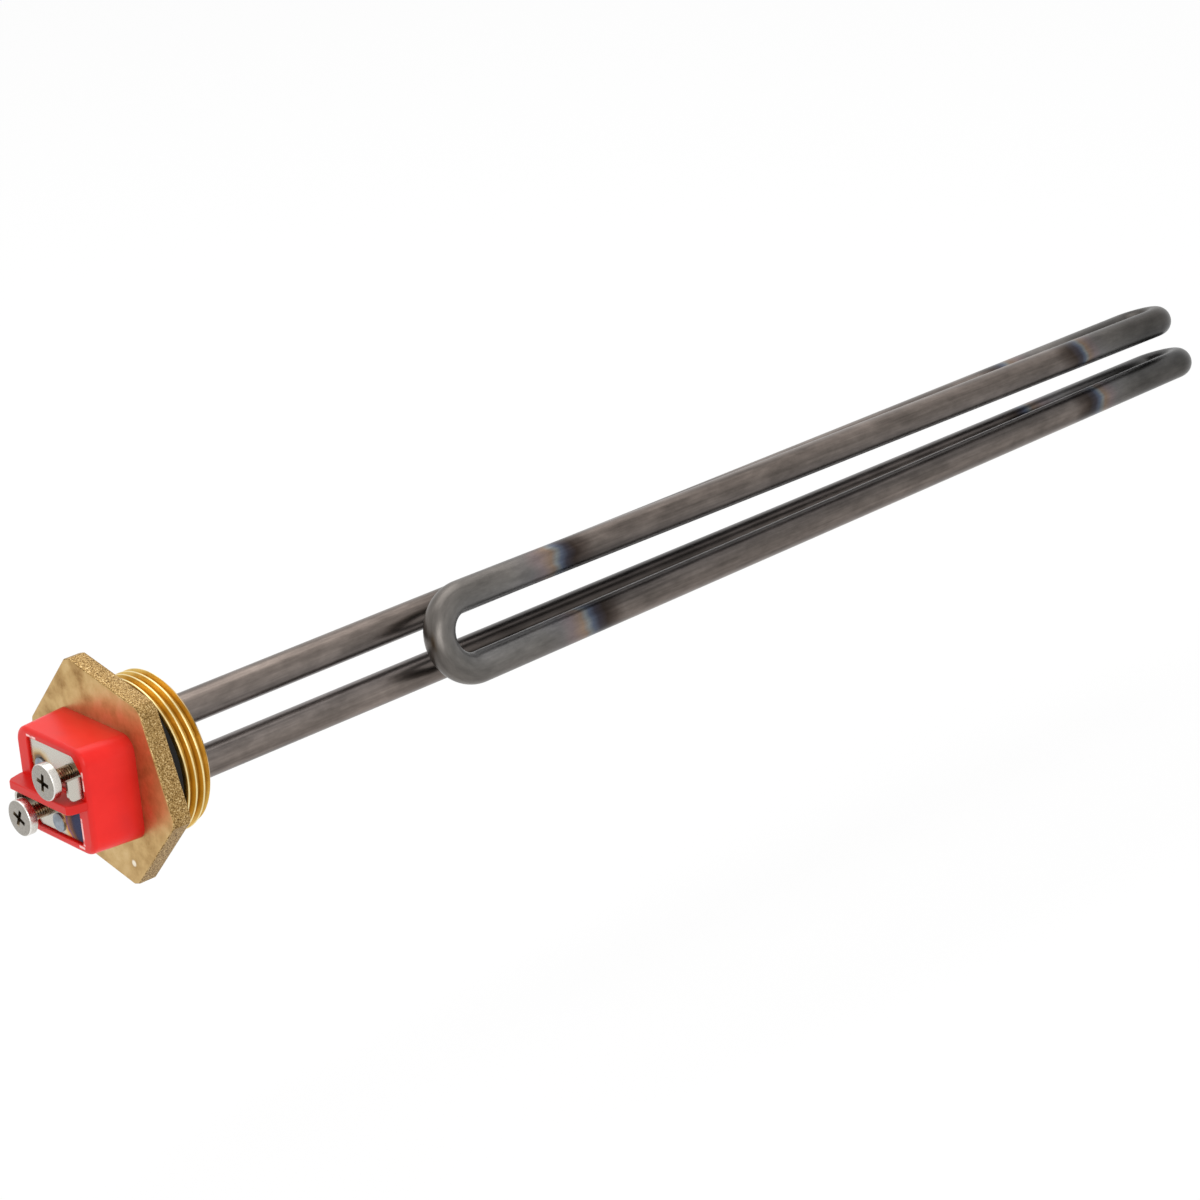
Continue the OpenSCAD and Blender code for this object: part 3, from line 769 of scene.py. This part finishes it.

# Nickel-plated steel screw: grained grey head face, a painted highlight on the rounded rim, bright polished
# side, brown cut shank.
# The finish changes along the axis; the stops are frame X in mm.
# The near-white stop on the rounded rim is a painted highlight
screwTonesAndRimHighlight = [
    (-30.6, "#a5a098"), (-30.54, "#aaa59d"), (-30.46, "#f4f1ec"), (-30.1, "#dfdad3"),
    (-28.4, "#cdc8c0"), (-28.15, "#bca990"), (-23.0, "#9a8670")]
platedScrew, tree, shader = startMaterial("nickelScrew", Metallic=1.0)
place = objectPlace(tree)
scuff = noiseOf(tree, place, 0.35, 3.0, 0.6)
finishEnd = screw["front"] + screw["finishReach"]
depth = remap(tree, splitAxes(tree, place)[0], screw["front"] * mm, finishEnd * mm)
screwStops = [((x - screw["front"]) / screw["finishReach"], colour) for x, colour in screwTonesAndRimHighlight]
finish = rampOf(tree, depth, screwStops)
tone = scaleTone(tree, finish, fromNoise(tree, scuff, 0.76, 1.12))
rough = fromNoise(tree, scuff, 0.18, 0.32)
bump = bumpOf(tree, scuff, 0.03, 0.02)
connect(tree, shader, Base_Color=tone, Roughness=rough, Normal=bump)

headEdge = roundedEdge(screw["edge"], (90, 70, 50, 30, 10, 0))
profile = [(screw["front"], screw["hub"]), (screw["front"], screw["flat"])]
profile += [(screw["front"] + behind, screw["head"] - inset) for behind, inset in headEdge]
profile += [(screw["under"] - screw["underEdge"], screw["head"]),
            (screw["under"], screw["head"] - screw["underEdge"]), (screw["under"], screw["hub"])]
crossFloor = screw["front"] + screw["deep"]
crossEnds = ((screw["front"] - screw["crossOver"], screw["crossMouth"]), (crossFloor, screw["crossFloor"]))
for side, name in ((1, "upper"), (-1, "lower")):
    screwY, screwZ = -side * plate["screwY"], side * plate["screwZ"]
    headSkin = skinRings(turnedRings(profile, screw["sides"], screwY, screwZ))
    head = addPiece("screw" + name.capitalize(), *headSkin, [platedScrew], smoothAngle=35)
    for quarter in (0, 90):
        a = math.radians(screw["turn"][name] + quarter)
        lengthwise = Vector((0, math.cos(a), math.sin(a)))
        sideways = Vector((0, -math.sin(a), math.cos(a)))
        sections = []
        for x, grow in crossEnds:
            middle = Vector((x, screwY, screwZ))
            long = lengthwise * (screw["cross"] / 2 * grow)
            wide = sideways * (screw["slot"] / 2 * grow)
            sections.append([tuple(middle + long * i + wide * j)
                             for i, j in ((1, -1), (1, 1), (-1, 1), (-1, -1))])
        shapePiece(head, "DIFFERENCE", *skinRings(sections))
    shankSkin = threadSkin(screwThread, screwThread["sides"], screwY, screwZ)
    shank = addPiece("shank", *shankSkin, [platedScrew], smoothAngle=30)
    joined = bmesh.new()
    joined.from_mesh(head.data)
    joined.from_mesh(shank.data)
    joined.to_mesh(head.data)
    joined.free()
    bpy.data.objects.remove(shank)
    head.data.materials.clear()
    head.data.materials.append(platedScrew)
    # The cross recess gets painted shade
    head.data.materials.append(finishes["shadedRecess"])
    # Faces below the head face and near the axis belong to the recess
    for polygon in head.data.polygons:
        x, y, z = polygon.center / mm
        inside = screw["front"] + 0.02 < x < crossFloor + 0.1
        near = math.hypot(y - screwY, z - screwZ) < screw["cross"] / 2 + 0.2
        polygon.material_index = 1 if inside and near else 0
    smoothPiece(head, angle=32)
    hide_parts("terminal_screw_" + name)
    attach(head, name + "_screw")
print("screws made")

# The solids that keep their own shape get their finish
finishOf = {"magnesia_fill": finishes["packedMagnesia"], "resistance_coil": finishes["drawnHeatingWire"]}
for name in ("upper", "lower"):
    finishOf["terminal_plate_" + name] = platedStrips[name]
    finishOf["cold_pin_" + name] = finishes["bluedPinSteel"]
    finishOf["braze_fillet_" + name] = finishes["runBraze"]
    finishOf["end_seal_" + name] = finishes["castSilicone"]
    finishOf["pin_bush_" + name] = finishes["firedCeramic"]
for name, finish in finishOf.items():
    data = nodes[name].data
    if data.materials:
        for index in range(len(data.materials)):
            data.materials[index] = finish
    else:
        data.materials.append(finish)
print("solids finished")

# Studio, in metres and watts: pale floor well below the part, one broad overhead box, a front fill,
# white surround
studio = {
    "floor": -0.11, "floorHalf": 6.0, "floorGrey": 0.9, "floorGlow": 0.8, "ambient": 0.88,
    "lamps": {
        "overheadBox": {
            "place": (0.15, 0.32, 1.0), "aim": (0.17, 0.0, 0.0), "size": (1.3, 0.8), "power": 4.5},
        "frontFill": {
            "place": (-0.9, -0.9, 0.5), "aim": (0.0, 0.0, 0.0), "size": (0.8, 0.8), "power": 5.0},
    },
}
white = (1.0, 1.0, 1.0, 1.0)


# 1 where the camera sees the surround, straight, in metal or through glass,
# and 0 where it only lights the part
def seenSurround(tree):
    light = addNode(tree, "ShaderNodeLightPath").outputs
    seen = calc(tree, "MAXIMUM", light["Is Camera Ray"], light["Is Glossy Ray"])
    return calc(tree, "MAXIMUM", seen, light["Is Transmission Ray"])


floorMesh = bpy.data.meshes.new("studioFloor")
corners = [(x * studio["floorHalf"], y * studio["floorHalf"], studio["floor"])
           for x, y in ((-1, -1), (1, -1), (1, 1), (-1, 1))]
floorMesh.from_pydata(corners, [], [(0, 1, 2, 3)])
floor = bpy.data.objects.new("studioFloor", floorMesh)
bpy.context.collection.objects.link(floor)
paleFloor = bpy.data.materials.new("paleFloor")
paleFloor.use_nodes = True
tree = paleFloor.node_tree
tree.nodes.clear()
glowShare = calc(tree, "MULTIPLY", seenSurround(tree), studio["floorGlow"])
matte = addNode(tree, "ShaderNodeBsdfDiffuse", {"Color": (*[studio["floorGrey"]] * 3, 1.0)})
glow = addNode(tree, "ShaderNodeEmission", {"Color": white, "Strength": 1.0})
blend = addNode(tree, "ShaderNodeMixShader", {0: glowShare, 1: matte.outputs[0], 2: glow.outputs[0]})
addNode(tree, "ShaderNodeOutputMaterial", {"Surface": blend.outputs[0]})
floorMesh.materials.append(paleFloor)

world = bpy.data.worlds.new("studioWorld")
bpy.context.scene.world = world
world.use_nodes = True
tree = world.node_tree
tree.nodes.clear()
level = remap(tree, seenSurround(tree), 0.0, 1.0, studio["ambient"], 1.0)
sky = addNode(tree, "ShaderNodeBackground", {"Color": white, "Strength": level})
addNode(tree, "ShaderNodeOutputWorld", {"Surface": sky.outputs[0]})

for name, setup in studio["lamps"].items():
    data = bpy.data.lights.new(name, "AREA")
    data.shape = "RECTANGLE"
    data.size, data.size_y = setup["size"]
    data.energy = setup["power"]
    lamp = bpy.data.objects.new(name, data)
    bpy.context.collection.objects.link(lamp)
    lamp.location = setup["place"]
    aim = Vector(setup["aim"]) - Vector(setup["place"])
    lamp.rotation_euler = aim.to_track_quat("-Z", "Y").to_euler()
bpy.context.scene.view_settings.view_transform = "Standard"
print("studio ready")
